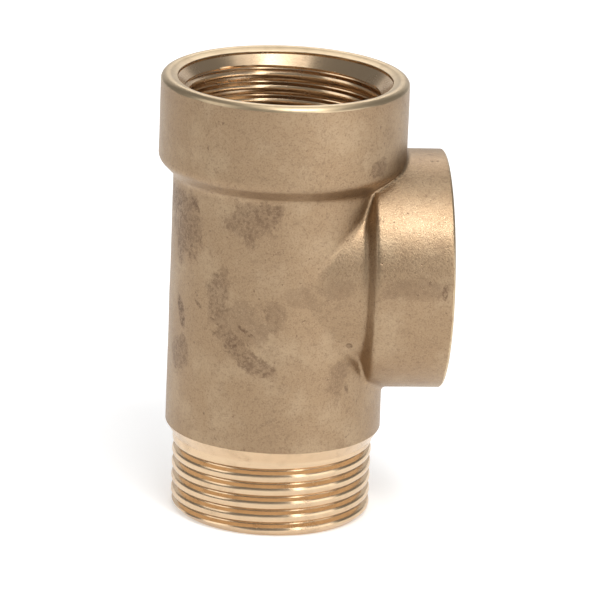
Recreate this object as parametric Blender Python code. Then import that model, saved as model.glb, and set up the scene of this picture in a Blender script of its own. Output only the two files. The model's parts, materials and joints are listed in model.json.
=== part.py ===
"""A cast bronze pipe tee: a threaded socket on top, a threaded socket on its side branch and a male thread
below, all cut in one casting.

The run stands along Z with the face of its male end at z = 0. The branch points along +X. Every length is
in metres. The thread is the parallel pipe thread of one inch nominal size, right-handed, eleven turns to
the inch.
"""

import math
from dataclasses import dataclass

import bmesh
import bpy

MM = 0.001

# The pipe thread, which all three ends share.
THREADS_PER_INCH = 11
PIPE_PITCH = 25.4 * MM / THREADS_PER_INCH
PIPE_MAJOR_D = 33.249 * MM
THREAD_DEPTH = 0.640327 * PIPE_PITCH
PIPE_MINOR_D = PIPE_MAJOR_D - 2 * THREAD_DEPTH
CREST_FLAT = PIPE_PITCH / 6

# Where the ends stand, each from the point where the two axes cross.
CENTRE_TO_TOP = 32.7 * MM
CENTRE_TO_MALE_END = 41.7 * MM
CENTRE_TO_BRANCH_FACE = 27.1 * MM
RUN_HEIGHT = CENTRE_TO_MALE_END + CENTRE_TO_TOP

# The cast skin, as steps out from the thread.
BODY_STEP = 1.3 * MM
TOP_BAND_STEP = 3.8 * MM
BRANCH_BAND_STEP = 3.2 * MM
BODY_R = PIPE_MAJOR_D / 2 + BODY_STEP
TOP_BAND_R = PIPE_MAJOR_D / 2 + TOP_BAND_STEP
BRANCH_BAND_R = PIPE_MAJOR_D / 2 + BRANCH_BAND_STEP
NECK_R = BODY_R - 0.25 * MM
TOP_BAND_LENGTH = 14.1 * MM
BRANCH_BAND_LENGTH = 12.85 * MM
BAND_SHOULDER = 2.5 * MM
BRANCH_SHOULDER = 1.5 * MM
TOP_EDGE_ROUND = 1.0 * MM
CAST_EDGE_ROUND = 0.5 * MM
JUNCTION_FILLET = 1.0 * MM

# The male end.
MALE_THREAD_LENGTH = 12.6 * MM
MALE_LAND_LENGTH = 0.35 * MM
BODY_CONE_LENGTH = 2.1 * MM
MALE_END_CHAMFER = 1.1 * MM
MALE_WALL = 2.15 * MM
MALE_BORE_R = PIPE_MINOR_D / 2 - MALE_WALL
MALE_BORE_LENGTH = 14.0 * MM
BORE_EDGE_CHAMFER = 0.5 * MM
MALE_THREAD_START = 1.54 * MM
MALE_RUN_OUT = 0.3 * PIPE_PITCH
RUN_OUT = 0.6 * PIPE_PITCH

# The passages and the two sockets.
CAVITY_STEP = 0.4 * MM
CAVITY_R = PIPE_MINOR_D / 2 - CAVITY_STEP
BRANCH_CAVITY_R = CAVITY_R - 0.25 * MM
LIP_STEP = 2.3 * MM
LIP_R = PIPE_MAJOR_D / 2 + LIP_STEP
LIP_DROP = 0.65 * MM
MOUTH_STEP = 1.06 * MM
MOUTH_R = PIPE_MAJOR_D / 2 + MOUTH_STEP
MOUTH_SLOPE = 0.95
MOUTH_WALL = 0.4 * MM
MOUTH_DEPTH = LIP_DROP + MOUTH_WALL + MOUTH_STEP / MOUTH_SLOPE
TOP_THREAD_LENGTH = 15.0 * MM
BRANCH_THREAD_LENGTH = 10.8 * MM
TOP_THREAD_START = -0.27 * MM
BRANCH_THREAD_START = 0.9 * MM
CUTTER_OVERRUN = 1.5 * MM

# How finely the round shapes are drawn, and how the flared neck is set into its neighbours.
SKIN_SIDES = 60
BORE_SIDES = 48
FILLET_STEPS = 5
SHARP_ANGLE = 32
WELD = 1e-7
NECK_IN_BAND = 1.0 * MM
NECK_SINK = 0.1 * MM
NECK_ROOT = 1.2 * MM

# The library's frame stands the object on the middle of its bounding box.
RUN_AXIS_X = (TOP_BAND_R - CENTRE_TO_BRANCH_FACE) / 2

BRONZE = (0.47, 0.31, 0.18, 1.0)


@dataclass(frozen=True)
class Thread:
    """A parallel thread between two heights, seen as the radius of its surface."""

    bottom: float
    top: float
    first_crest: float
    fade_bottom: float
    fade_top: float
    internal: bool

    def marks(self):
        """The four corners of the profile, as shares of one pitch from the middle of a crest."""
        half = CREST_FLAT / PIPE_PITCH / 2
        return (-half, half, 0.5 - half, 0.5 + half)

    def depth_share(self, phase):
        """0 on a crest and 1 at a root, with straight flanks."""
        off = abs(phase - round(phase))
        half = CREST_FLAT / PIPE_PITCH / 2
        return min(max((off - half) / (0.5 - 2 * half), 0.0), 1.0)

    def radius(self, z, turn):
        """The thread's radius at height z and at this share of a turn."""
        share = self.depth_share((z - self.first_crest) / PIPE_PITCH - turn)
        fade = 1.0
        if self.fade_bottom:
            fade = min(fade, (z - self.bottom) / self.fade_bottom)
        if self.fade_top:
            fade = min(fade, (self.top - z) / self.fade_top)
        share *= min(max(fade, 0.0), 1.0)
        if self.internal:
            return PIPE_MINOR_D / 2 + share * THREAD_DEPTH
        return PIPE_MAJOR_D / 2 - share * THREAD_DEPTH

    def rows(self, sides):
        """Rings that climb one pitch in a turn, held between the bottom and the top."""
        marks = self.marks()
        low = math.floor((self.bottom - self.first_crest) / PIPE_PITCH) - 2
        high = math.ceil((self.top - self.first_crest) / PIPE_PITCH) + 2
        rows = []
        for number in range(low, high):
            for mark in marks:
                row = []
                for side in range(sides):
                    turn = side / sides
                    z = self.first_crest + PIPE_PITCH * (number + mark + turn)
                    z = min(max(z, self.bottom), self.top)
                    row.append((self.radius(z, turn), turn, z))
                rows.append(row)
        return rows, len(marks)


def plain_row(radius, z, sides):
    """A level ring as (radius, share of a turn, height)."""
    return [(radius, side / sides, z) for side in range(sides)]


def clipped(rows, limit):
    """The same rings with each radius passed through limit(radius, height)."""
    return [[(limit(r, z), turn, z) for r, turn, z in row] for row in rows]


class Skin:
    """A closed surface that grows ring by ring about an axis, with a flat cap at each end."""

    def __init__(self):
        self.mesh = bmesh.new()
        self.ends = []

    def point(self, station):
        """A point of the mesh from (radius, share of a turn, height)."""
        radius, turn, z = station
        angle = 2 * math.pi * turn
        return self.mesh.verts.new((radius * math.cos(angle), radius * math.sin(angle), z))

    def band(self, rows, seam_shift=0):
        """Joins each ring to the next. At the seam the last column meets rows seam_shift further on."""
        grid = [[self.point(station) for station in row] for row in rows]
        last = len(grid) - 1
        for low in range(last):
            high = low + 1
            for side in range(len(grid[low])):
                if side + 1 < len(grid[low]):
                    corners = (grid[low][side], grid[low][side + 1], grid[high][side + 1], grid[high][side])
                else:
                    low_next = min(low + seam_shift, last)
                    high_next = min(high + seam_shift, last)
                    corners = (grid[low][side], grid[low_next][0], grid[high_next][0], grid[high][side])
                if len(set(corners)) > 2:
                    self.mesh.faces.new(list(dict.fromkeys(corners)))

    def cap(self, row):
        """Closes an end with one flat face."""
        self.mesh.faces.new([self.point(station) for station in row])

    def finish(self, name):
        """Welds the rings into one closed surface and makes it an object."""
        bmesh.ops.remove_doubles(self.mesh, verts=self.mesh.verts[:], dist=WELD)
        bmesh.ops.dissolve_degenerate(self.mesh, dist=WELD, edges=self.mesh.edges[:])
        loose = [vert for vert in self.mesh.verts if not vert.link_faces]
        bmesh.ops.delete(self.mesh, geom=loose, context="VERTS")
        return as_object(self.mesh, name)


def as_object(mesh, name):
    """Makes a smooth-shaded object of a closed bmesh, standing on the run's axis."""
    bmesh.ops.recalc_face_normals(mesh, faces=mesh.faces[:])
    data = bpy.data.meshes.new(name)
    mesh.to_mesh(data)
    mesh.free()
    data.shade_smooth()
    data.set_sharp_from_angle(angle=math.radians(SHARP_ANGLE))
    item = bpy.data.objects.new(name, data)
    item.location = (RUN_AXIS_X, 0.0, 0.0)
    bpy.context.scene.collection.objects.link(item)
    return item


def laid_along_branch(item):
    """Turns an object that was drawn upright so that it lies on the branch's axis and points along +X."""
    item.location.z = CENTRE_TO_MALE_END
    item.rotation_euler = (0.0, math.pi / 2, 0.0)
    return item


def rounded_corner(corner, before, after, size, steps=3):
    """Points that round a corner of an (r, z) outline, from the leg before it to the leg after it."""

    def toward(target):
        dr = target[0] - corner[0]
        dz = target[1] - corner[1]
        length = math.hypot(dr, dz)
        return (corner[0] + dr * size / length, corner[1] + dz * size / length)

    start = toward(before)
    end = toward(after)
    points = []
    for step in range(steps + 1):
        t = step / steps
        weights = ((1 - t) ** 2, 2 * t * (1 - t), t**2)
        r = weights[0] * start[0] + weights[1] * corner[0] + weights[2] * end[0]
        z = weights[0] * start[1] + weights[1] * corner[1] + weights[2] * end[1]
        points.append((r, z))
    return points


def softened(outline, sizes):
    """An (r, z) outline with each corner that has a size rounded by it."""
    points = [outline[0]]
    for index in range(1, len(outline) - 1):
        if sizes[index]:
            points += rounded_corner(outline[index], outline[index - 1], outline[index + 1], sizes[index])
        else:
            points.append(outline[index])
    points.append(outline[-1])
    return points


def run_blank():
    """The run's outer skin: male thread, land, cone, body, shoulder and top band, closed at both ends."""
    skin = Skin()
    thread = Thread(0.0, MALE_THREAD_LENGTH, MALE_THREAD_START, 0.0, MALE_RUN_OUT, internal=False)
    rows, shift = thread.rows(SKIN_SIDES)
    chamfer_r = PIPE_MAJOR_D / 2 - MALE_END_CHAMFER
    rows = clipped(rows, lambda radius, z: min(radius, chamfer_r + z))
    skin.cap([(min(thread.radius(0.0, t), chamfer_r), t, 0.0) for _, t, _ in plain_row(0, 0, SKIN_SIDES)])
    skin.band(rows, shift)
    land_top = MALE_THREAD_LENGTH + MALE_LAND_LENGTH
    band_bottom = RUN_HEIGHT - TOP_BAND_LENGTH
    outline = [
        (PIPE_MAJOR_D / 2, MALE_THREAD_LENGTH),
        (PIPE_MAJOR_D / 2, land_top),
        (BODY_R, land_top + BODY_CONE_LENGTH),
        (BODY_R, band_bottom - BAND_SHOULDER),
        (TOP_BAND_R, band_bottom),
        (TOP_BAND_R, RUN_HEIGHT),
        (MOUTH_R, RUN_HEIGHT),
    ]
    sizes = [0, 0, 0, CAST_EDGE_ROUND * 2, CAST_EDGE_ROUND * 2, TOP_EDGE_ROUND, 0]
    points = softened(outline, sizes)
    skin.band([plain_row(r, z, SKIN_SIDES) for r, z in points])
    skin.cap(plain_row(*points[-1], SKIN_SIDES))
    return skin.finish("run_blank")


def branch_band():
    """The reinforcing band round the branch, closed at both ends. Its heights run along the branch."""
    skin = Skin()
    face = CENTRE_TO_BRANCH_FACE
    back = face - BRANCH_BAND_LENGTH
    inner_r = NECK_R - 1.0 * MM
    outline = [
        (inner_r, back - BRANCH_SHOULDER),
        (NECK_R, back - BRANCH_SHOULDER),
        (BRANCH_BAND_R, back),
        (BRANCH_BAND_R, face),
        (MOUTH_R, face),
    ]
    points = softened(outline, [0, 0, CAST_EDGE_ROUND, CAST_EDGE_ROUND, 0])
    skin.cap(plain_row(*points[0], SKIN_SIDES))
    skin.band([plain_row(r, z, SKIN_SIDES) for r, z in points])
    skin.cap(plain_row(*points[-1], SKIN_SIDES))
    return laid_along_branch(skin.finish("branch_band"))


def along(start, end, share):
    """The point this share of the way from start to end."""
    return tuple(a * (1 - share) + b * share for a, b in zip(start, end))


def neck_line(turn):
    """One line of the neck's skin, from inside the band to inside the run, with the branch's axis as X.

    A ball of the fillet's radius rests on both tubes. The line follows the neck to where the ball touches
    it, then the ball's own surface to where it touches the run, then dives into the run's wall.
    """
    across = math.cos(2 * math.pi * turn)
    upward = math.sin(2 * math.pi * turn)
    ball_y = (NECK_R + JUNCTION_FILLET) * across
    ball_z = (NECK_R + JUNCTION_FILLET) * upward
    ball_x = math.sqrt((BODY_R + JUNCTION_FILLET) ** 2 - ball_y**2)
    ball = (ball_x, ball_y, ball_z)
    on_neck = (ball_x, NECK_R * across, NECK_R * upward)
    on_run = along((0.0, 0.0, ball_z), ball, BODY_R / (BODY_R + JUNCTION_FILLET))
    points = [(BODY_R + JUNCTION_FILLET + NECK_IN_BAND, NECK_R * across, NECK_R * upward), on_neck]
    for step in range(1, FILLET_STEPS):
        chord = along(on_neck, on_run, step / FILLET_STEPS)
        points.append(along(ball, chord, JUNCTION_FILLET / math.dist(ball, chord)))
    points.append(along(on_run, (0.0, 0.0, ball_z), NECK_SINK / BODY_R))
    points.append(along(on_run, (0.0, 0.0, 0.0), NECK_ROOT / BODY_R))
    points.append(along((0.0, 0.0, 0.0), on_run, 0.5))
    return points


def branch_neck():
    """The neck between the run and the band, its root flared by a ball rolled round the joint."""
    mesh = bmesh.new()
    lines = []
    for side in range(SKIN_SIDES):
        lines.append([mesh.verts.new(point) for point in neck_line(side / SKIN_SIDES)])
    for side, line in enumerate(lines):
        following = lines[(side + 1) % SKIN_SIDES]
        for step in range(len(line) - 1):
            mesh.faces.new((line[step], following[step], following[step + 1], line[step + 1]))
    mesh.faces.new([line[0] for line in lines])
    middle = mesh.verts.new((0.0, 0.0, 0.0))
    for side, line in enumerate(lines):
        mesh.faces.new((line[-1], lines[(side + 1) % SKIN_SIDES][-1], middle))
    item = as_object(mesh, "branch_neck")
    item.location.z = CENTRE_TO_MALE_END
    return item


def socket_rows(skin, face, thread):
    """Adds a tapped socket to a cutter, from the thread's inner end out past the face."""
    rows, shift = thread.rows(BORE_SIDES)
    seat = face - LIP_DROP - MOUTH_WALL
    rows = clipped(rows, lambda radius, z: max(radius, MOUTH_R - MOUTH_SLOPE * (seat - z)))
    skin.band(rows, shift)
    outer_r = LIP_R + CUTTER_OVERRUN * (LIP_R - MOUTH_R) / LIP_DROP
    outline = [
        (PIPE_MAJOR_D / 2, thread.top),
        (MOUTH_R, seat),
        (MOUTH_R, face - LIP_DROP),
        (LIP_R, face),
        (outer_r, face + CUTTER_OVERRUN),
    ]
    skin.band([plain_row(r, z, BORE_SIDES) for r, z in outline])
    skin.cap(plain_row(*outline[-1], BORE_SIDES))


def run_core():
    """The space inside the run: male bore, cast cavity and tapped top socket."""
    skin = Skin()
    inner = RUN_HEIGHT - TOP_THREAD_LENGTH
    step = CAVITY_R - MALE_BORE_R
    outline = [
        (MALE_BORE_R + BORE_EDGE_CHAMFER + CUTTER_OVERRUN, -CUTTER_OVERRUN),
        (MALE_BORE_R, BORE_EDGE_CHAMFER),
        (MALE_BORE_R, MALE_BORE_LENGTH),
        (CAVITY_R, MALE_BORE_LENGTH + step * 1.6),
        (CAVITY_R, inner - CAVITY_STEP),
        (PIPE_MINOR_D / 2, inner),
    ]
    skin.cap(plain_row(*outline[0], BORE_SIDES))
    skin.band([plain_row(r, z, BORE_SIDES) for r, z in outline])
    first = RUN_HEIGHT - round(TOP_THREAD_LENGTH / PIPE_PITCH) * PIPE_PITCH + TOP_THREAD_START
    thread = Thread(inner, RUN_HEIGHT - MOUTH_DEPTH, first, 2 * RUN_OUT, 0.0, internal=True)
    socket_rows(skin, RUN_HEIGHT, thread)
    return skin.finish("run_core")


def branch_core():
    """The space inside the branch: cast cavity and tapped socket, starting in the run's cavity."""
    skin = Skin()
    face = CENTRE_TO_BRANCH_FACE
    inner = face - BRANCH_THREAD_LENGTH
    outline = [
        (BRANCH_CAVITY_R, 0.0),
        (BRANCH_CAVITY_R, inner - CAVITY_STEP),
        (PIPE_MINOR_D / 2, inner),
    ]
    skin.cap(plain_row(*outline[0], BORE_SIDES))
    skin.band([plain_row(r, z, BORE_SIDES) for r, z in outline])
    first = face - round(BRANCH_THREAD_LENGTH / PIPE_PITCH) * PIPE_PITCH + BRANCH_THREAD_START
    thread = Thread(inner, face - MOUTH_DEPTH, first, RUN_OUT, 0.0, internal=True)
    socket_rows(skin, face, thread)
    return laid_along_branch(skin.finish("branch_core"))


def combine(body, helper, operation):
    """Adds a Boolean to the body and takes the helper out of view."""
    cut = body.modifiers.new(helper.name, "BOOLEAN")
    cut.operation = operation
    cut.object = helper
    cut.solver = "EXACT"
    helper.hide_render = True
    helper.display_type = "WIRE"


def bronze():
    """Cast bronze as it leaves the sand, dull and slightly rough."""
    material = bpy.data.materials.new("cast_bronze")
    material.use_nodes = True
    shader = material.node_tree.nodes["Principled BSDF"]
    shader.inputs["Base Color"].default_value = BRONZE
    shader.inputs["Metallic"].default_value = 0.9
    shader.inputs["Roughness"].default_value = 0.45
    return material


def main():
    for item in list(bpy.data.objects):
        bpy.data.objects.remove(item)
    body = run_blank()
    body.name = "tee_body"
    combine(body, branch_neck(), "UNION")
    combine(body, branch_band(), "UNION")
    combine(body, run_core(), "DIFFERENCE")
    combine(body, branch_core(), "DIFFERENCE")
    body.data.materials.append(bronze())


main()
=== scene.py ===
"""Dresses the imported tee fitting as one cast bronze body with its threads, sockets and faces cut in it.

The body is made the way the real one is. A cast blank comes first, as a smooth closed skin with rounded
inner and outer corners. Three machining cuts follow: one turns the male end, one bores and taps the run
and one bores and taps the branch. Each cut leaves its own finish on the metal it touches.

Lengths inside the classes are in millimetres, measured from the run's axis at the face of the male end.
"""

import json
import logging
import math
from collections.abc import Callable, Sequence
from dataclasses import dataclass, field
from enum import Enum

import bmesh
import bpy
import numpy as np
from mathutils import Matrix, Vector


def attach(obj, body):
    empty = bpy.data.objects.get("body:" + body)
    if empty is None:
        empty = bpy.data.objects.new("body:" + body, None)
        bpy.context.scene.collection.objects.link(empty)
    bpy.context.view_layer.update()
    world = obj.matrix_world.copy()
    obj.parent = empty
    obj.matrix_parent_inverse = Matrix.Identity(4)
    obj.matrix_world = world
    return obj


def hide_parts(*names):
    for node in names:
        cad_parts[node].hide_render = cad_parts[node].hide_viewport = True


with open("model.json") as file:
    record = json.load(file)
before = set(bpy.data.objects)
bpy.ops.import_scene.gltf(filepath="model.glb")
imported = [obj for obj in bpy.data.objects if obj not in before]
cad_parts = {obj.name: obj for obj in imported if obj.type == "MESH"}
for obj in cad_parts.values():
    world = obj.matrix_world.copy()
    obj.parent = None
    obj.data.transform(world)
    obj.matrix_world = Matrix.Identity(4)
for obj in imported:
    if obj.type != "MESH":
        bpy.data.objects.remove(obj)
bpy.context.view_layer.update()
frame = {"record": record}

LOG = logging.getLogger("tee")
MM = 0.001
TINY = 1e-6  # keeps a division away from zero
SETTLE_ROUNDS = 4
SETTLE_STEP = 0.01
LEAST_SLOPE = 0.25
Array = np.ndarray
Colour = tuple[float, float, float]


class Region(Enum):
    """The kinds of surface on the body, each with its own material slot."""

    CAST = 0
    RUN_CUT = 1
    BRANCH_CUT = 2
    FACED = 3


class Axis(Enum):
    """The two lines that the machining turns about."""

    RUN = "run"
    BRANCH = "branch"


# ---------------------------------------------------------------------------------------------------------
# Shader nodes
# ---------------------------------------------------------------------------------------------------------


class Num:
    """A value socket that adds Math nodes where it is used in an expression."""

    def __init__(self, shop: "NodeShop", socket: bpy.types.NodeSocket) -> None:
        """Wraps one socket.

        Args:
            shop: The node tree's builder.
            socket: The output that holds the value.
        """
        self.shop = shop
        self.socket = socket

    def _with(self, operation: str, *terms: "Num | float") -> "Num":
        """Adds one Math node over this value and others."""
        return self.shop.math(operation, self, *terms)

    def __add__(self, other: "Num | float") -> "Num":
        """self + other."""
        return self._with("ADD", other)

    def __radd__(self, other: float) -> "Num":
        """other + self."""
        return self._with("ADD", other)

    def __sub__(self, other: "Num | float") -> "Num":
        """self - other."""
        return self._with("SUBTRACT", other)

    def __rsub__(self, other: float) -> "Num":
        """other - self."""
        return self.shop.math("SUBTRACT", other, self)

    def __mul__(self, other: "Num | float") -> "Num":
        """self * other."""
        return self._with("MULTIPLY", other)

    def __rmul__(self, other: float) -> "Num":
        """other * self."""
        return self._with("MULTIPLY", other)

    def __pow__(self, other: "Num | float") -> "Num":
        """self ** other."""
        return self._with("POWER", other)

    def top(self, other: "Num | float") -> "Num":
        """The larger of the two."""
        return self._with("MAXIMUM", other)

    def ramp(self, low: float, high: float) -> "Num":
        """0 at low and 1 at high, with soft ends.

        Args:
            low: The value that gives 0.
            high: The value that gives 1, which may lie below low.

        Returns:
            The ramped value.
        """
        settings = {"interpolation_type": "SMOOTHSTEP"}
        sockets = {"Value": self, "From Min": low, "From Max": high}
        return self.shop.num("ShaderNodeMapRange", settings, sockets)


class NodeShop:
    """Builds one material's node tree."""

    def __init__(self, name: str) -> None:
        """Makes an empty material with a Principled BSDF.

        Args:
            name: The material's name.
        """
        self.material = bpy.data.materials.new(name)
        self.material.use_nodes = True
        self.tree = self.material.node_tree
        self.shader = self.tree.nodes["Principled BSDF"]

    def node(self, kind: str, settings: dict | None = None, sockets: dict | None = None) -> bpy.types.Node:
        """Adds any node.

        Args:
            kind: The node's type.
            settings: Its properties, which are set first.
            sockets: Its inputs by name or number, each a value, a socket or a Num.

        Returns:
            The new node.
        """
        made = self.tree.nodes.new(kind)
        for key, value in (settings or {}).items():
            setattr(made, key, value)
        for key, value in (sockets or {}).items():
            self.feed(made.inputs[key], value)
        return made

    def feed(self, socket: bpy.types.NodeSocket, value: object) -> None:
        """Sets an input, or links it.

        Args:
            socket: The input.
            value: A number or tuple to set, or a Num or socket to link.
        """
        if isinstance(value, Num):
            value = value.socket
        if isinstance(value, bpy.types.NodeSocket):
            self.tree.links.new(value, socket)
        else:
            socket.default_value = value

    def num(self, kind: str, settings: dict, sockets: dict, output: int | str = 0) -> Num:
        """Adds a node and wraps one of its outputs as a value."""
        return Num(self, self.node(kind, settings, sockets).outputs[output])

    def math(self, operation: str, *terms: Num | float) -> Num:
        """Adds one Math node over its terms."""
        return self.num("ShaderNodeMath", {"operation": operation}, dict(enumerate(terms)))

    def vector(self, operation: str, *terms: object) -> bpy.types.NodeSocket:
        """Adds one Vector Math node and gives its vector."""
        return self.node("ShaderNodeVectorMath", {"operation": operation}, dict(enumerate(terms))).outputs[0]

    def blend(self, share: Num | float, first: object, second: object) -> bpy.types.NodeSocket:
        """Mixes two colours.

        Args:
            share: How much of the second colour shows.
            first: The first colour, as a tuple or a socket.
            second: The second colour.

        Returns:
            The mixed colour.
        """
        settings = {"data_type": "RGBA", "clamp_factor": True}
        return self.node("ShaderNodeMix", settings, {0: share, 6: first, 7: second}).outputs[2]

    def place(self) -> bpy.types.NodeSocket:
        """Adds the nodes that give a surface's place.

        Returns:
            The place in millimetres, measured from the run's axis.
        """
        spot = self.node("ShaderNodeTexCoord").outputs["Object"]
        moved = self.vector("SUBTRACT", spot, (RUN_AXIS_X, 0.0, 0.0))
        sockets = {0: moved, "Scale": 1 / MM}
        return self.node("ShaderNodeVectorMath", {"operation": "SCALE"}, sockets).outputs[0]

    def noise(self, place: object, scale: float, detail: float = 2.0, rough: float = 0.5) -> Num:
        """A soft random value round 0.5 with this many lumps to the millimetre."""
        sockets = {"Vector": place, "Scale": scale, "Detail": detail, "Roughness": rough}
        return self.num("ShaderNodeTexNoise", {}, sockets, "Fac")

    def bump(self, height: Num, depth: float) -> bpy.types.NodeSocket:
        """A normal that is tilted by a height from 0 to 1, this many millimetres deep."""
        sockets = {"Height": height, "Distance": depth * MM, "Strength": 1.0}
        return self.node("ShaderNodeBump", {}, sockets).outputs["Normal"]


def opaque(colour: Colour) -> tuple[float, float, float, float]:
    """A colour with full alpha."""
    return (*colour, 1.0)


# ---------------------------------------------------------------------------------------------------------
# Finishes
# ---------------------------------------------------------------------------------------------------------


@dataclass(frozen=True)
class Stain:
    """A brown mark on the cast skin, drawn as a soft ball that is stretched and tipped over.

    Its middle and its half sizes are in millimetres, its tilt in degrees, clockwise from the front. It fades
    in from its outer bound to its inner one, which are shares of its half sizes.
    """

    middle: tuple[float, float, float]
    spread: tuple[float, float, float]
    tilt: float = 0.0
    strength: float = 1.0
    fray: float = 2.2
    outer: float = 1.1
    inner: float = 0.7

    def shape(self, shop: NodeShop, place: bpy.types.NodeSocket, ragged: Num) -> Num:
        """How strongly the mark shows at each place.

        Args:
            shop: The material's builder.
            place: The surface's place.
            ragged: A noise that frays the mark's edge.

        Returns:
            The mark, from 0 to its strength.
        """
        sockets = {
            "Vector": place,
            "Location": self.middle,
            "Rotation": (0.0, math.radians(self.tilt), 0.0),
            "Scale": self.spread,
        }
        local = shop.node("ShaderNodeMapping", {"vector_type": "TEXTURE"}, sockets).outputs[0]
        away = shop.num("ShaderNodeVectorMath", {"operation": "LENGTH"}, {0: local}, "Value")
        return (away + (ragged - 0.5) * self.fray).ramp(self.outer, self.inner) * self.strength


@dataclass(frozen=True)
class CastFinish:
    """Bronze as it leaves the blasting cabinet: a dull fine grain, soft mottling, pits and brown bloom."""

    metal: Colour = (0.37, 0.256, 0.154)
    pale: Colour = (0.43, 0.312, 0.196)
    bloom: Colour = (0.17, 0.105, 0.066)
    roughness: float = 0.43
    grain_per_mm: float = 3.4
    grain_depth: float = 0.05
    mottle_per_mm: float = 0.13
    cloud_per_mm: float = 0.42
    crumb_per_mm: float = 1.5
    pits_per_mm: float = 1.15
    fleck_finer: float = 1.7
    cloud_shade: float = 0.25
    crumb_shade: float = 0.28
    grain_shade: float = 0.38
    bloom_shade: float = 0.9
    pit_shade: float = 0.5
    fleck_shine: float = 0.45
    stains: Sequence[Stain] = ()

    def marks(self, shop: NodeShop, place: bpy.types.NodeSocket, ragged: Num) -> Num:
        """All the stains together.

        Args:
            shop: The material's builder.
            place: The surface's place.
            ragged: A noise that frays the stains' edges.

        Returns:
            The strongest stain at each place.
        """
        mask = ragged * 0.0
        for stain in self.stains:
            mask = mask.top(stain.shape(shop, place, ragged))
        return mask

    def material(self) -> bpy.types.Material:
        """Builds the material.

        Returns:
            The finished material.
        """
        shop = NodeShop("cast_skin")
        place = shop.place()
        mottle = shop.noise(place, self.mottle_per_mm, 4.0, 0.6)
        cloud = shop.noise(place, self.cloud_per_mm, 5.0, 0.7)
        crumb = shop.noise(place, self.crumb_per_mm, 4.0, 0.65)
        grain = shop.noise(place, self.grain_per_mm, 2.0, 0.6)
        fleck = shop.noise(place, self.grain_per_mm * self.fleck_finer, 1.0, 0.5)
        bright = fleck.ramp(0.58, 0.72)
        pits = shop.noise(place, self.pits_per_mm, 2.0, 0.5).ramp(0.7, 0.76)
        bloom = self.marks(shop, place, cloud) * (crumb * 0.7 + grain * 0.3).ramp(0.36, 0.6)
        colour = shop.blend(mottle.ramp(0.42, 0.7), opaque(self.metal), opaque(self.pale))
        colour = shop.blend(cloud.ramp(0.5, 0.25) * self.cloud_shade, colour, opaque(self.bloom))
        colour = shop.blend(crumb.ramp(0.52, 0.3) * self.crumb_shade, colour, opaque(self.bloom))
        colour = shop.blend(grain.ramp(0.55, 0.3) * self.grain_shade, colour, opaque(self.bloom))
        colour = shop.blend(bloom * self.bloom_shade, colour, opaque(self.bloom))
        colour = shop.blend(pits * self.pit_shade, colour, opaque(self.bloom))
        colour = shop.blend(bright * self.fleck_shine, colour, opaque(self.pale))
        rough = self.roughness + (grain - 0.5) * 0.3 + bloom * 0.1 - bright * 0.12
        height = grain * 0.55 + fleck * 0.3 + crumb * 0.5 - pits * 0.8 - bloom * 0.3
        shop.feed(shop.shader.inputs["Base Color"], colour)
        shop.feed(shop.shader.inputs["Metallic"], 1.0)
        shop.feed(shop.shader.inputs["Roughness"], rough)
        shop.feed(shop.shader.inputs["Normal"], shop.bump(height, self.grain_depth))
        return shop.material


@dataclass(frozen=True)
class CutFinish:
    """Bronze fresh from the lathe: bright and golden, with fine rings about the axis it turned on."""

    name: str
    axis: Axis
    metal: Colour = (0.69, 0.51, 0.33)
    dull: Colour = (0.5, 0.35, 0.215)
    roughness: float = 0.22
    rings_per_mm: float = 5.0
    ring_depth: float = 0.004
    tarnish_per_mm: float = 0.35
    specks_per_mm: float = 2.6

    def material(self) -> bpy.types.Material:
        """Builds the material.

        Returns:
            The finished material.
        """
        shop = NodeShop(self.name)
        place = shop.place()
        parts = shop.node("ShaderNodeSeparateXYZ", {}, {0: place})
        x, y, z = (Num(shop, parts.outputs[i]) for i in range(3))
        if self.axis is Axis.RUN:
            across, along = (x * x + y * y) ** 0.5, z
        else:
            lift = z - BRANCH_HEIGHT / MM
            across, along = (y * y + lift * lift) ** 0.5, x
        rings = shop.node("ShaderNodeCombineXYZ", {}, {0: across, 1: along}).outputs[0]
        marks = shop.noise(rings, self.rings_per_mm, 2.0, 0.7)
        tarnish = shop.noise(place, self.tarnish_per_mm, 4.0, 0.6).ramp(0.45, 0.75)
        specks = shop.noise(place, self.specks_per_mm, 2.0, 0.6)
        colour = shop.blend(tarnish * 0.45, opaque(self.metal), opaque(self.dull))
        colour = shop.blend((marks - 0.35) * 0.35, colour, opaque(self.dull))
        rough = self.roughness + tarnish * 0.06 + (marks - 0.5) * 0.12 + (specks - 0.5) * 0.1
        shop.feed(shop.shader.inputs["Base Color"], colour)
        shop.feed(shop.shader.inputs["Metallic"], 1.0)
        shop.feed(shop.shader.inputs["Roughness"], rough)
        shop.feed(shop.shader.inputs["Normal"], shop.bump(marks * 0.8 + specks * 0.2, self.ring_depth))
        return shop.material


# ---------------------------------------------------------------------------------------------------------
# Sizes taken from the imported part
# ---------------------------------------------------------------------------------------------------------


def mount_place(name: str) -> Vector:
    """The place of one of the record's mounts, in metres."""
    return Vector(next(m["pos_m"] for m in frame["record"]["mounts"] if m["name"] == name))


RUN_AXIS_X = mount_place("male_end_face").x
RUN_HEIGHT = mount_place("top_socket_face").z
BRANCH_HEIGHT = mount_place("branch_socket_face").z
BRANCH_FACE = mount_place("branch_socket_face").x - RUN_AXIS_X


# ---------------------------------------------------------------------------------------------------------
# Shapes
# ---------------------------------------------------------------------------------------------------------


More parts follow.
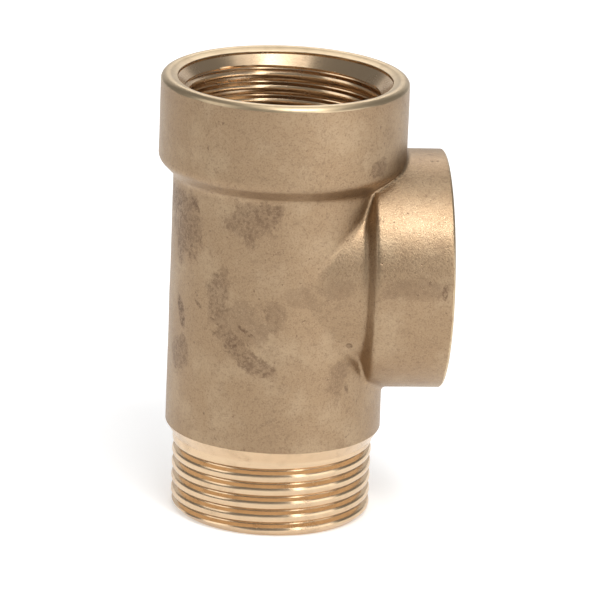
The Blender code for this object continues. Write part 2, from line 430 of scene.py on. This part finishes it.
@dataclass(frozen=True)
class PipeThread:
    """The one inch parallel pipe thread, cut shallow, so its crests stay broad and gently rounded."""

    pitch: float = 25.4 / 11
    major: float = 33.249 / 2
    flank: float = math.radians(27.5)
    crest_reach: float = 0.62
    crest_round: float = 1.1
    root_reach: float = 0.3
    standard_depth: float = 0.640327

    @property
    def depth(self) -> float:
        """From crest to root in the standard form, which is deeper than the profile drawn here."""
        return self.standard_depth * self.pitch

    @property
    def minor(self) -> float:
        """The smaller radius of the standard form, which the passages are sized from."""
        return self.major - self.depth

    @property
    def bore(self) -> float:
        """The radius at the crests of the same profile cut inside a socket."""
        return self.major - float(self.fall(np.array(0.5)))

    @property
    def marks(self) -> tuple[float, ...]:
        """Where the profile is drawn.

        Returns:
            The heights in one pitch, as shares of it.
        """
        shoulder = self.crest_reach / self.pitch
        foot = 0.5 - self.root_reach / self.pitch
        half = (0.0, shoulder / 3, shoulder * 2 / 3, shoulder, foot, (foot + 0.5) / 2, 0.5)
        return half + tuple(1 - share for share in reversed(half[1:-1]))

    def fall(self, phase: Array) -> Array:
        """How far the profile lies below its crest.

        Args:
            phase: Places along the profile, in pitches from the middle of a crest.

        Returns:
            The radial distance from the crest at each place.
        """
        off = np.abs(phase - np.round(phase)) * self.pitch
        steep = 1 / math.tan(self.flank)
        foot = self.pitch / 2 - self.root_reach
        crest = self.crest_round - np.sqrt(self.crest_round**2 - np.minimum(off, self.crest_reach) ** 2)
        side = np.clip(off - self.crest_reach, 0, foot - self.crest_reach) * steep
        past = np.maximum(off - foot, 0)
        return crest + side + steep * (past - past**2 / (2 * self.root_reach))


THREAD = PipeThread()


@dataclass(frozen=True)
class ThreadRun:
    """One stretch of thread, between two heights, with the way it fades in and out."""

    bottom: float
    top: float
    first_crest: float
    fade_bottom: float = 0.0
    fade_top: float = 0.0
    internal: bool = False
    sides: int = 180

    def radius(self, z: Array, turn: Array) -> Array:
        """The thread's radius.

        Args:
            z: Heights.
            turn: Shares of a turn.

        Returns:
            The radius at each place.
        """
        fall = THREAD.fall((z - self.first_crest) / THREAD.pitch - turn)
        if self.fade_bottom:
            fall = fall * np.clip((z - self.bottom) / self.fade_bottom, 0, 1)
        if self.fade_top:
            fall = fall * np.clip((self.top - z) / self.fade_top, 0, 1)
        return THREAD.bore + fall if self.internal else THREAD.major - fall

    def rows(self, limit: Callable[[Array, Array], Array]) -> Array:
        """Rings that climb one pitch in a turn, held between the bottom and the top.

        Args:
            limit: Gives the final radius from the thread's radius and the height.

        Returns:
            An array of rings, each of (radius, share of a turn, height) points.
        """
        low = math.floor((self.bottom - self.first_crest) / THREAD.pitch) - 2
        high = math.ceil((self.top - self.first_crest) / THREAD.pitch) + 2
        starts = (np.arange(low, high)[:, None] + np.array(THREAD.marks)[None, :]).reshape(-1, 1)
        turn = np.arange(self.sides)[None, :] / self.sides
        z = np.clip(self.first_crest + THREAD.pitch * (starts + turn), self.bottom, self.top)
        turn = np.broadcast_to(turn, z.shape)
        return np.stack([limit(self.radius(z, turn), z), turn, z], axis=-1)


class Lathe:
    """A closed surface turned about an axis, gathered band by band, each band with its own finish."""

    WELD = 2e-4

    def __init__(self, sides: int = 180) -> None:
        """Starts an empty surface.

        Args:
            sides: The number of points in each ring.
        """
        self.sides = sides
        self.points: list[Array] = []
        self.faces: list[Array] = []
        self.regions: list[Array] = []
        self.count = 0

    def band(self, rows: Array, region: Region, shift: int = 0, flip: bool = False) -> None:
        """Joins rings into a band of faces.

        Args:
            rows: Rings of (radius, share of a turn, height) points.
            region: The finish of the band.
            shift: How many rings further on the last column meets the first one.
            flip: Turns the faces round.
        """
        height, width = rows.shape[:2]
        angle = 2 * math.pi * rows[..., 1]
        spots = np.stack([rows[..., 0] * np.cos(angle), rows[..., 0] * np.sin(angle), rows[..., 2]], axis=-1)
        low, side = np.meshgrid(np.arange(height - 1), np.arange(width), indexing="ij")
        last = side == width - 1
        after = (side + 1) % width
        low_next = np.where(last, np.minimum(low + shift, height - 1), low)
        high_next = np.where(last, np.minimum(low + 1 + shift, height - 1), low + 1)
        corners = [low * width + side, low_next * width + after]
        corners += [high_next * width + after, (low + 1) * width + side]
        quads = np.stack(corners, axis=-1).reshape(-1, 4) + self.count
        self.faces.append(quads[:, ::-1] if flip else quads)
        self.points.append(spots.reshape(-1, 3))
        self.regions.append(np.full(len(quads), region.value))
        self.count += height * width

    def outline(self, stations: Sequence[tuple[float, float]], region: Region) -> None:
        """Adds a plain turned band.

        Args:
            stations: The (radius, height) places that it runs through.
            region: The finish of the band.
        """
        turn = np.arange(self.sides) / self.sides
        ones = np.ones(self.sides)
        rows = [np.stack([ones * radius, turn, ones * height], axis=-1) for radius, height in stations]
        self.band(np.array(rows), region)

    def build(self, name: str, axis: Axis, materials: Sequence[bpy.types.Material]) -> bpy.types.Object:
        """Welds the bands and makes an object in the row's frame.

        Args:
            name: The object's name.
            axis: The line that the surface turns about.
            materials: One for each Region.

        Returns:
            The new object.
        """
        points = np.concatenate(self.points)
        if axis is Axis.BRANCH:
            lift = BRANCH_HEIGHT / MM
            points = np.stack([points[:, 2], points[:, 1], lift - points[:, 0]], axis=-1)
        faces = np.concatenate(self.faces).tolist()
        item = object_of(name, points, faces, np.concatenate(self.regions), materials)
        mesh = bmesh.new()
        mesh.from_mesh(item.data)
        bmesh.ops.remove_doubles(mesh, verts=mesh.verts[:], dist=self.WELD * MM)
        loose = [vert for vert in mesh.verts if not vert.link_faces]
        bmesh.ops.delete(mesh, geom=loose, context="VERTS")
        mesh.to_mesh(item.data)
        mesh.free()
        return item


def object_of(
    name: str, points: Array, faces: list, regions: Sequence[int], materials: Sequence[bpy.types.Material]
) -> bpy.types.Object:
    """Makes an object from points in millimetres from the run's axis.

    Args:
        name: The object's name.
        points: Its vertices.
        faces: Its faces, as lists of vertex numbers.
        regions: The material slot of each face.
        materials: One for each slot.

    Returns:
        The new object, linked to the scene, with its vertices in the row's frame.
    """
    data = bpy.data.meshes.new(name)
    data.from_pydata((points * MM + np.array([RUN_AXIS_X, 0.0, 0.0])).tolist(), [], faces)
    for material in materials:
        data.materials.append(material)
    data.polygons.foreach_set("material_index", np.asarray(regions, np.int32))
    item = bpy.data.objects.new(name, data)
    bpy.context.scene.collection.objects.link(item)
    return item


def joined(first: Array, second: Array, radius: float | Array) -> Array:
    """Two distances joined, with a rounded inner corner of this radius."""
    rest = np.hypot(np.maximum(radius - first, 0), np.maximum(radius - second, 0))
    return np.maximum(radius, np.minimum(first, second)) - rest


def common(first: Array, second: Array, radius: float | Array) -> Array:
    """What two distances share, with a rounded outer corner of this radius."""
    rest = np.hypot(np.maximum(first + radius, 0), np.maximum(second + radius, 0))
    return np.minimum(-radius, np.maximum(first, second)) + rest


@dataclass
class CastBlank:
    """The body as it comes out of the sand, before any machining, as distances from its skin."""

    body_r: float = 17.9245
    neck_r: float = 17.6745
    top_band_r: float = 20.4245
    branch_band_r: float = 19.8245
    top_band_length: float = 14.1
    branch_band_length: float = 12.85
    shoulder: float = 2.5
    branch_shoulder: float = 1.5
    top_edge: float = 0.8
    branch_edge: float = 0.4
    corner: float = 0.3
    band_corner: float = 0.48
    inner_corner: float = 0.35
    junction: float = 1.0
    least_fillet: float = 0.05
    tightening: float = 0.55
    band_reach: float = 4.0
    stock: float = 1.0
    spare: float = 0.12
    cell: float = 0.45
    margin: float = 1.0
    margin_below: float = 2.2
    margin_above: float = 1.5
    wander: float = 0.028
    wave_seed: int = 11
    wave_count: int = 14
    wave_lengths: tuple[float, float] = (5.0, 16.0)
    wave_calm: float = 5.0
    wave_lift: float = 1.2

    def waves(self, x: Array, y: Array, z: Array) -> Array:
        """The slow unevenness of a sand-cast skin.

        Args:
            x: Places across the run.
            y: Places from front to back.
            z: Heights.

        Returns:
            How far the skin stands in from its true shape, which is seldom below zero.
        """
        source = np.random.default_rng(self.wave_seed)
        total = np.zeros_like(x)
        for _ in range(self.wave_count):
            heading = source.normal(size=3)
            heading *= 2 * math.pi / source.uniform(*self.wave_lengths) / np.linalg.norm(heading)
            start = source.uniform(0, 2 * math.pi)
            total += np.sin(heading[0] * x + heading[1] * y + heading[2] * z + start)
        return self.wander * (total / self.wave_calm + self.wave_lift)

    def distance(self, x: Array, y: Array, z: Array) -> Array:
        """The distance from the skin, negative inside.

        Args:
            x: Places across the run.
            y: Places from front to back.
            z: Heights.

        Returns:
            The distance at each place.
        """
        height = RUN_HEIGHT / MM
        out = np.hypot(x, y)
        lift = z - BRANCH_HEIGHT / MM
        across = np.hypot(y, lift)
        body = out - self.body_r
        rise = self.top_band_r - self.body_r
        slant = math.hypot(rise, self.shoulder)
        below = height - self.top_band_length - self.shoulder
        shoulder = ((out - self.body_r) * self.shoulder - (z - below) * rise) / slant
        band = common(out - self.top_band_r, shoulder, self.band_corner)
        run = joined(body, band, self.inner_corner)
        run = common(run, z - height - self.spare, self.top_edge)
        run = np.maximum(run, -self.stock - z)
        face = BRANCH_FACE / MM
        step = self.branch_band_r - self.neck_r
        back = face - self.branch_band_length - self.branch_shoulder
        steep = math.hypot(step, self.branch_shoulder)
        slope = ((across - self.neck_r) * self.branch_shoulder - (x - back) * step) / steep
        collar = common(across - self.branch_band_r, slope, self.corner)
        neck = np.maximum(across - self.neck_r, -x)
        branch = joined(neck, collar, self.inner_corner)
        branch = common(branch, x - face - self.spare, self.branch_edge)
        facing = np.clip(y * y / np.maximum(out * across, TINY), 0, 1)
        near_band = np.clip((z - below + self.band_reach / 2) / self.band_reach, 0, 1)
        fillet = self.junction * (1 - facing) * (1 - self.tightening * near_band) + self.least_fillet
        whole = joined(run, branch, fillet)
        return whole + self.waves(x, y, z)

    def build(self, materials: Sequence[bpy.types.Material]) -> bpy.types.Object:
        """Draws the skin as a net of quads and settles each point on the true surface.

        Args:
            materials: One for each Region.

        Returns:
            The blank as one closed object.
        """
        reach = self.top_band_r + self.margin
        low = np.array([-reach, -reach, -self.margin_below])
        high = np.array([BRANCH_FACE / MM + self.margin, reach, RUN_HEIGHT / MM + self.margin_above])
        points, faces = surface_net(self.distance, low, high, self.cell)
        regions = [Region.CAST.value] * len(faces)
        return object_of("cast_blank", points, faces.tolist(), regions, materials)


def surface_net(
    distance: Callable[[Array, Array, Array], Array], low: Array, high: Array, cell: float
) -> tuple[Array, Array]:
    """Quads over the surface where a distance is zero.

    Args:
        distance: Gives the distance at places, negative inside.
        low: The lowest corner of the space to search.
        high: Its highest corner.
        cell: The size of a cell.

    Returns:
        The points, settled on the surface, and the quads, facing out.
    """
    lines = [np.arange(low[i], high[i] + cell, cell) for i in range(3)]
    values = distance(*np.meshgrid(*lines, indexing="ij"))
    inside = values < 0
    sizes = np.array(inside.shape) - 1
    corners = [(i, j, k) for i in (0, 1) for j in (0, 1) for k in (0, 1)]

    def corner_view(grid: Array, corner: tuple[int, int, int]) -> Array:
        """The grid's values at one corner of every cell."""
        return grid[tuple(slice(c, c + n) for c, n in zip(corner, sizes))]

    filled = sum(corner_view(inside, corner).astype(np.int8) for corner in corners)
    mixed = (filled > 0) & (filled < 8)
    cells = np.argwhere(mixed)
    number = np.full(mixed.shape, -1)
    number[mixed] = np.arange(len(cells))
    at = {corner: corner_view(values, corner)[mixed] for corner in corners}
    total = np.zeros((len(cells), 3))
    hits = np.zeros(len(cells))
    for start in corners:
        for axis in range(3):
            if start[axis]:
                continue
            end = tuple(1 if i == axis else c for i, c in enumerate(start))
            crossed = (at[start] < 0) != (at[end] < 0)
            share = np.where(crossed, at[start] / np.where(crossed, at[start] - at[end], 1.0), 0.0)
            spot = np.tile(np.array(start, float), (len(cells), 1))
            spot[:, axis] += share
            total += spot * crossed[:, None]
            hits += crossed
    points = low + cell * (cells + total / hits[:, None])
    faces = []
    for axis in range(3):
        first, second = (axis + 1) % 3, (axis + 2) % 3
        ahead = np.take(inside, range(1, inside.shape[axis]), axis)
        behind = np.take(inside, range(inside.shape[axis] - 1), axis)
        edges = np.argwhere(ahead != behind)
        leaving = behind[tuple(edges.T)]
        ring = []
        for back_first, back_second in ((1, 1), (0, 1), (0, 0), (1, 0)):
            spot = edges.copy()
            spot[:, first] -= back_first
            spot[:, second] -= back_second
            ring.append(number[tuple(spot.T)])
        quads = np.stack(ring, axis=-1)
        faces.append(np.where(leaving[:, None], quads, quads[:, ::-1]))
    for _ in range(SETTLE_ROUNDS):
        points = settled(distance, points)
    return points, np.concatenate(faces)


def settled(distance: Callable[[Array, Array, Array], Array], points: Array) -> Array:
    """Moves points along the distance's slope onto the surface.

    Args:
        distance: Gives the distance at places, negative inside.
        points: Places near the surface.

    Returns:
        The moved points.
    """
    step = SETTLE_STEP
    here = distance(*points.T)
    slope = np.empty_like(points)
    for axis in range(3):
        nudge = np.zeros(3)
        nudge[axis] = step
        slope[:, axis] = (distance(*(points + nudge).T) - distance(*(points - nudge).T)) / (2 * step)
    size = np.maximum((slope**2).sum(axis=1), LEAST_SLOPE)
    return points - slope * (here / size)[:, None]


@dataclass
class MaleEnd:
    """The turning cut below the body: end face, chamfer, thread, land and the cone up to the body."""

    thread_length: float = 12.6
    land_length: float = 0.35
    cone_length: float = 2.1
    body_r: float = 17.9245
    chamfer: float = 1.1
    first_crest: float = 1.54
    fade_pitches: float = 0.3
    overrun: float = 0.6
    clearance: float = 3.0
    clear_r: float = 30.0

    def build(self, materials: Sequence[bpy.types.Material]) -> bpy.types.Object:
        """Builds the space that the lathe tool sweeps.

        Args:
            materials: One for each Region.

        Returns:
            The space as one closed object.
        """
        lathe = Lathe()
        land = self.thread_length + self.land_length
        cone_top = land + self.cone_length
        slope = (self.body_r - THREAD.major) / self.cone_length
        over = self.overrun
        lathe.outline(
            [(0.0, -self.clearance), (self.clear_r, -self.clearance), (self.clear_r, cone_top + over)]
            + [(self.body_r + slope * over, cone_top + over), (self.body_r, cone_top)]
            + [(THREAD.major, land), (THREAD.major, self.thread_length)],
            Region.RUN_CUT,
        )
        fade = self.fade_pitches * THREAD.pitch
        thread = ThreadRun(0.0, self.thread_length, self.first_crest, fade_top=fade)
        start_r = THREAD.major - self.chamfer
        rows = thread.rows(lambda radius, z: np.minimum(radius, start_r + z))
        lathe.band(rows, Region.RUN_CUT, len(THREAD.marks), flip=True)
        foot = rows[0]
        centre = foot * np.array([0.0, 1.0, 1.0])
        lathe.band(np.stack([foot, centre]), Region.RUN_CUT)
        return lathe.build("male_end_cut", Axis.RUN, materials)


@dataclass
class Socket:
    """A bored and tapped end: faced off, countersunk, threaded, and open to the cast passage behind it."""

    face: float
    axis: Axis
    region: Region
    thread_length: float
    first_crest: float
    fade: float
    lip_r: float = THREAD.major + 2.3
    lip_drop: float = 0.65
    mouth_r: float = THREAD.major + 1.06
    wall: float = 0.4
    mouth_slope: float = 0.95
    edge_break: float = 0.12
    band_r: float = 20.4245
    edge_round: float = 1.2
    edge_sweep: float = 78.0
    edge_stations: int = 9
    clearance: float = 3.0
    clear_r: float = 30.0
    passage: Sequence[tuple[float, float, Region]] = field(default_factory=tuple)

    def lip(self) -> list[tuple[float, float]]:
        """The facing tool's path up the sloping lip, with both its edges broken.

        Returns:
            Stations of radius and height.
        """
        brim = self.face - self.lip_drop
        soft = self.edge_break
        tilt = self.lip_drop / (self.lip_r - self.mouth_r)
        return [
            (self.mouth_r, brim),
            (self.mouth_r + soft * 0.4, brim + soft * 0.7),
            (self.mouth_r + soft * 1.5, brim + soft * 1.5 * tilt),
            (self.lip_r - soft * 2, self.face - soft * 2 * tilt),
            (self.lip_r - soft * 0.5, self.face - soft * 0.7 * tilt),
        ]

    def rounded_edge(self) -> list[tuple[float, float]]:
        """The facing tool's path over the outer edge, out to clear air.

        Returns:
            Stations of radius and height.
        """
        flat = max(self.band_r - self.edge_round, self.lip_r + self.edge_break)
        reach, drop = self.band_r - flat, self.edge_round
        turns = np.radians(np.linspace(0, self.edge_sweep, self.edge_stations))
        arc = [(flat + reach * math.sin(turn), self.face - drop * (1 - math.cos(turn))) for turn in turns]
        return [*arc, (self.clear_r, arc[-1][1])]

    def build(self, name: str, materials: Sequence[bpy.types.Material]) -> bpy.types.Object:
        """Builds the space that the drill, tap and facing tool sweep.

        Args:
            name: The object's name.
            materials: One for each Region.

        Returns:
            The space as one closed object.
        """
        lathe = Lathe()
        inner = self.face - self.thread_length
        for start, end in zip(self.passage, self.passage[1:]):
            lathe.outline([start[:2], end[:2]], end[2])
        lathe.outline([self.passage[-1][:2], (THREAD.bore, inner)], self.region)
        brim = self.face - self.lip_drop
        seat = brim - self.wall
        cone_end = seat - (self.mouth_r - THREAD.major) / self.mouth_slope
        thread = ThreadRun(inner, cone_end, self.first_crest, fade_bottom=self.fade, internal=True)
        mouth, slope = self.mouth_r, self.mouth_slope
        rows = thread.rows(lambda radius, z: np.maximum(radius, mouth - slope * (seat - z)))
        lathe.band(rows, self.region, len(THREAD.marks))
        lathe.outline([(THREAD.major, cone_end), (self.mouth_r, seat), (self.mouth_r, brim)], self.region)
        clear = self.face + self.clearance
        rim = [*self.lip(), *self.rounded_edge(), (self.clear_r, clear), (0.0, clear)]
        lathe.outline(rim, Region.FACED)
        return lathe.build(name, self.axis, materials)


@dataclass
class Casting:
    """The whole fitting: the cast blank with its three machining cuts."""

    blank: CastBlank = field(default_factory=CastBlank)
    male_end: MaleEnd = field(default_factory=MaleEnd)
    cavity_r: float = THREAD.minor - 0.4
    branch_cavity_r: float = THREAD.minor - 0.65
    bore_r: float = THREAD.minor - 2.15
    bore_length: float = 14.0
    bore_chamfer: float = 0.5
    bore_cone: float = 2.8
    bore_overrun: float = 1.5
    relief: float = 0.4
    top_thread: float = 15.0
    top_turns: int = 6
    top_phase: float = -0.27
    top_fade: float = 1.2
    branch_thread: float = 10.8
    branch_turns: int = 5
    branch_phase: float = 0.9
    branch_fade: float = 0.6
    branch_edge_round: float = 0.6
    crease: float = math.radians(24)

    def sockets(self) -> dict[str, Socket]:
        """The two tapped ends with the passages behind them.

        Returns:
            Each socket under the name of its cut.
        """
        top = RUN_HEIGHT / MM
        face = BRANCH_FACE / MM
        pitch = THREAD.pitch
        cut, cast = Region.RUN_CUT, Region.CAST
        run_passage = (
            (0.0, -self.bore_overrun, cut),
            (self.bore_r + self.bore_chamfer + self.bore_overrun, -self.bore_overrun, cut),
            (self.bore_r, self.bore_chamfer, cut),
            (self.bore_r, self.bore_length, cut),
            (self.cavity_r, self.bore_length + self.bore_cone, cast),
            (self.cavity_r, top - self.top_thread - self.relief, cast),
        )
        branch_passage = (
            (0.0, 0.0, cast),
            (self.branch_cavity_r, 0.0, cast),
            (self.branch_cavity_r, face - self.branch_thread - self.relief, cast),
        )
        run_cut = Socket(
            face=top,
            axis=Axis.RUN,
            region=cut,
            thread_length=self.top_thread,
            first_crest=top - self.top_turns * pitch + self.top_phase,
            fade=self.top_fade * pitch,
            band_r=self.blank.top_band_r,
            passage=run_passage,
        )
        branch_cut = Socket(
            face=face,
            axis=Axis.BRANCH,
            region=Region.BRANCH_CUT,
            thread_length=self.branch_thread,
            first_crest=face - self.branch_turns * pitch + self.branch_phase,
            fade=self.branch_fade * pitch,
            band_r=self.blank.branch_band_r,
            edge_round=self.branch_edge_round,
            passage=branch_passage,
        )
        return {"run_cut": run_cut, "branch_cut": branch_cut}

    def cut(self, body: bpy.types.Object, tool: bpy.types.Object) -> None:
        """Takes the tool's space out of the body, and the tool out of the scene.

        Args:
            body: The object that is cut.
            tool: The space to remove.
        """
        step = body.modifiers.new(tool.name, "BOOLEAN")
        step.operation = "DIFFERENCE"
        step.object = tool
        step.solver = "MANIFOLD"
        graph = bpy.context.evaluated_depsgraph_get()
        result = bpy.data.meshes.new_from_object(body.evaluated_get(graph))
        body.modifiers.clear()
        body.data = result
        bpy.data.objects.remove(tool)

    def smooth(self, body: bpy.types.Object) -> None:
        """Shades the body smooth, with crisp edges where one finish meets another or a cut turns sharply.

        Args:
            body: The finished object.
        """
        data = body.data
        data.shade_smooth()
        slots = np.empty(len(data.polygons), np.int32)
        data.polygons.foreach_get("material_index", slots)
        normals = np.empty(len(data.polygons) * 3, np.float32)
        data.polygons.foreach_get("normal", normals)
        normals = normals.reshape(-1, 3)
        owners = np.empty(len(data.loops), np.int32)
        for polygon in data.polygons:
            owners[polygon.loop_start : polygon.loop_start + polygon.loop_total] = polygon.index
        edges = np.empty(len(data.loops), np.int32)
        data.loops.foreach_get("edge_index", edges)
        order = np.argsort(edges, kind="stable")
        pairs = owners[order].reshape(-1, 2)
        turn = np.einsum("ij,ij->i", normals[pairs[:, 0]], normals[pairs[:, 1]])
        meeting = slots[pairs[:, 0]] != slots[pairs[:, 1]]
        machined = (slots[pairs[:, 0]] != Region.CAST.value) & (turn < math.cos(self.crease))
        sharp = data.attributes.new("sharp_edge", "BOOLEAN", "EDGE")
        sharp.data.foreach_set("value", (meeting | machined).tolist())

    def build(self) -> bpy.types.Object:
        """Casts, cuts and dresses the fitting.

        Returns:
            The finished piece.
        """
        rim = CutFinish("faced_rim", Axis.RUN, (0.58, 0.45, 0.29), (0.46, 0.34, 0.21), 0.36)
        materials = [
            CastFinish(stains=STAINS).material(),
            CutFinish("run_cut", Axis.RUN).material(),
            CutFinish("branch_cut", Axis.BRANCH).material(),
            rim.material(),
        ]
        body = self.blank.build(materials)
        body.name = "tee_casting"
        self.cut(body, self.male_end.build(materials))
        for name, socket in self.sockets().items():
            self.cut(body, socket.build(name, materials))
        self.smooth(body)
        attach(body, "root")
        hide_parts("tee_body")
        return body


STAINS = (
    Stain((-16.2, -7.8, 50.7), (2.6, 7.0, 6.5), 0.0, 0.75),
    Stain((-15.0, -9.9, 55.1), (0.45, 2.0, 1.9), -32.0, 1.0, 0.5),
    Stain((-17.6, -3.4, 53.9), (1.2, 5.0, 3.0), 0.0, 0.9),
    Stain((-6.5, -16.7, 53.6), (3.6, 7.0, 3.8), 0.0, 0.75),
    Stain((-3.7, -17.5, 55.6), (2.6, 6.0, 2.4), 0.0, 0.85),
    Stain((-11.2, -14.0, 40.8), (1.9, 6.0, 4.6), 8.0, 0.75),
    Stain((-6.9, -16.6, 31.7), (6.0, 7.0, 1.9), 40.0, 0.85),
    Stain((-7.8, -16.3, 36.5), (5.2, 7.0, 4.6), 40.0, 0.5),
    Stain((-3.8, -17.5, 29.7), (1.9, 4.0, 1.3), 20.0, 0.8),
    Stain((-1.7, -17.8, 38.7), (2.0, 5.0, 3.2), 0.0, 0.6),
    Stain((2.0, -17.8, 41.4), (3.5, 5.0, 1.8), 15.0, 0.4),
    Stain((-6.5, -16.7, 35.5), (2.3, 3.0, 0.42), 34.0, 1.0, 0.5),
    Stain((-8.1, -16.0, 32.9), (1.5, 3.0, 0.35), 42.0, 1.0, 0.5),
    Stain((-11.5, -13.8, 36.4), (1.1, 3.0, 0.32), 38.0, 0.9, 0.5),
    Stain((-10.1, -14.8, 39.3), (1.3, 3.0, 0.3), 50.0, 0.7, 0.5),
    Stain((-14.0, -11.2, 38.5), (0.9, 3.0, 0.3), 50.0, 0.8, 0.5),
    Stain((-16.4, -7.3, 35.9), (0.5, 3.0, 3.0), -8.0, 1.0, 0.5),
    Stain((-16.4, -7.2, 29.0), (1.3, 5.0, 3.4), 0.0, 0.65),
    Stain((8.9, -15.6, 27.4), (1.8, 4.0, 3.6), 12.0, 0.6),
    Stain((10.5, -14.6, 25.4), (0.35, 2.0, 1.3), -12.0, 0.9, 0.5),
    Stain((10.6, -15.3, 32.9), (0.7, 2.0, 0.6), 20.0, 1.0, 0.7),
    Stain((14.1, -14.8, 62.8), (1.9, 5.0, 1.5), -40.0, 0.7),
    Stain((25.4, -19.6, 43.5), (0.55, 3.0, 1.6), 0.0, 1.0, 0.9),
    Stain((20.4, -19.7, 43.9), (6.0, 4.0, 1.9), 0.0, 0.5),
    Stain((8.1, -17.6, 43.1), (3.6, 5.0, 1.7), 0.0, 0.45),
)


# ---------------------------------------------------------------------------------------------------------
# Studio
# ---------------------------------------------------------------------------------------------------------


@dataclass(frozen=True)
class Lamp:
    """One soft box: its direction in degrees to the camera's right and up, its size in metres, its watts."""

    name: str
    heading: tuple[float, float]
    size: tuple[float, float]
    power: float


LAMPS = (
    Lamp("key", (33, 30), (0.16, 1.0), 1.9),
    Lamp("top", (0, 86), (0.5, 0.5), 1.2),
    Lamp("overhead", (20, 58), (0.34, 0.34), 3.2),
    Lamp("side_top", (90, 70), (0.4, 0.4), 0.5),
    Lamp("left", (-68, 28), (0.5, 0.4), 0.95),
    Lamp("right", (60, 8), (0.6, 0.4), 1.25),
    Lamp("front_low", (0, 6), (1.2, 0.25), 0.5),
    Lamp("back_high", (180, 45), (0.5, 0.5), 1.6),
    Lamp("back_wall", (180, 20), (1.2, 0.6), 1.2),
)


@dataclass
class Studio:
    """A pale floor, soft lights and the camera."""

    azimuth: float = math.radians(-5.885)
    elevation: float = math.radians(17.213)
    roll: float = math.radians(2.297)
    distance: float = 854.2
    aim: tuple[float, float] = (3.785, 35.993)
    lens: float = 309.33
    lamp_reach: float = 0.9
    lamp_aim: float = 0.04
    floor_half: float = 4.0
    floor_glow: float = 0.36
    surround: float = 0.22

    def camera(self) -> bpy.types.Object:
        """Places the camera.

        Returns:
            The camera.
        """
        sin_a, cos_a = math.sin(self.azimuth), math.cos(self.azimuth)
        sin_e, cos_e = math.sin(self.elevation), math.cos(self.elevation)
        back = Vector((sin_a * cos_e, -cos_a * cos_e, sin_e))
        right = Vector((0, 0, 1)).cross(back).normalized()
        up = back.cross(right)
        across = right * math.cos(self.roll) + up * math.sin(self.roll)
        upward = up * math.cos(self.roll) - right * math.sin(self.roll)
        spot = Vector((0, 0, self.aim[1])) + right * self.aim[0] + back * self.distance
        turned = Matrix((across, upward, back)).transposed().to_4x4()
        data = bpy.data.cameras.new("camera")
        data.lens = self.lens
        data.clip_start = 0.01
        camera = bpy.data.objects.new("camera", data)
        camera.matrix_world = Matrix.Translation(spot * MM + Vector((RUN_AXIS_X, 0, 0))) @ turned
        bpy.context.scene.collection.objects.link(camera)
        bpy.context.scene.camera = camera
        return camera

    def hang(self, lamp: Lamp) -> None:
        """Hangs one soft box so that it faces the middle of the fitting.

        Args:
            lamp: The soft box.
        """
        turn, lift = self.azimuth + math.radians(lamp.heading[0]), math.radians(lamp.heading[1])
        toward = Vector((math.sin(turn) * math.cos(lift), -math.cos(turn) * math.cos(lift), math.sin(lift)))
        data = bpy.data.lights.new(lamp.name, "AREA")
        data.shape = "RECTANGLE"
        data.size, data.size_y = lamp.size
        data.energy = lamp.power
        box = bpy.data.objects.new(lamp.name, data)
        box.location = Vector((0.0, 0.0, self.lamp_aim)) + toward * self.lamp_reach
        box.rotation_euler = (-toward).to_track_quat("-Z", "Y").to_euler()
        bpy.context.scene.collection.objects.link(box)

    def floor(self) -> None:
        """Lays the floor."""
        shop = NodeShop("floor")
        shop.feed(shop.shader.inputs["Base Color"], (0.9, 0.9, 0.9, 1.0))
        shop.feed(shop.shader.inputs["Roughness"], 0.9)
        shop.feed(shop.shader.inputs["Specular IOR Level"], 0.1)
        shop.feed(shop.shader.inputs["Emission Color"], (1.0, 1.0, 1.0, 1.0))
        shop.feed(shop.shader.inputs["Emission Strength"], self.floor_glow)
        data = bpy.data.meshes.new("floor")
        half = self.floor_half
        corners = [(-half, -half, 0), (half, -half, 0), (half, half, 0), (-half, half, 0)]
        data.from_pydata(corners, [], [(0, 1, 2, 3)])
        data.materials.append(shop.material)
        floor = bpy.data.objects.new("floor", data)
        bpy.context.scene.collection.objects.link(floor)

    def build(self) -> None:
        """Sets the whole studio up."""
        self.camera()
        self.floor()
        for lamp in LAMPS:
            self.hang(lamp)
        world = bpy.data.worlds.new("studio")
        world.use_nodes = True
        sky = world.node_tree.nodes["Background"]
        sky.inputs["Color"].default_value = (1.0, 1.0, 1.0, 1.0)
        sky.inputs["Strength"].default_value = self.surround
        bpy.context.scene.world = world
        bpy.context.scene.view_settings.view_transform = "Standard"


def main() -> None:
    """Builds the studio and the fitting."""
    logging.basicConfig(level=logging.INFO, format="%(name)s: %(message)s")
    Studio().build()
    LOG.info("studio set")
    body = Casting().build()
    LOG.info("%s: %d faces", body.name, len(body.data.polygons))


if __name__ == "__main__":
    main()
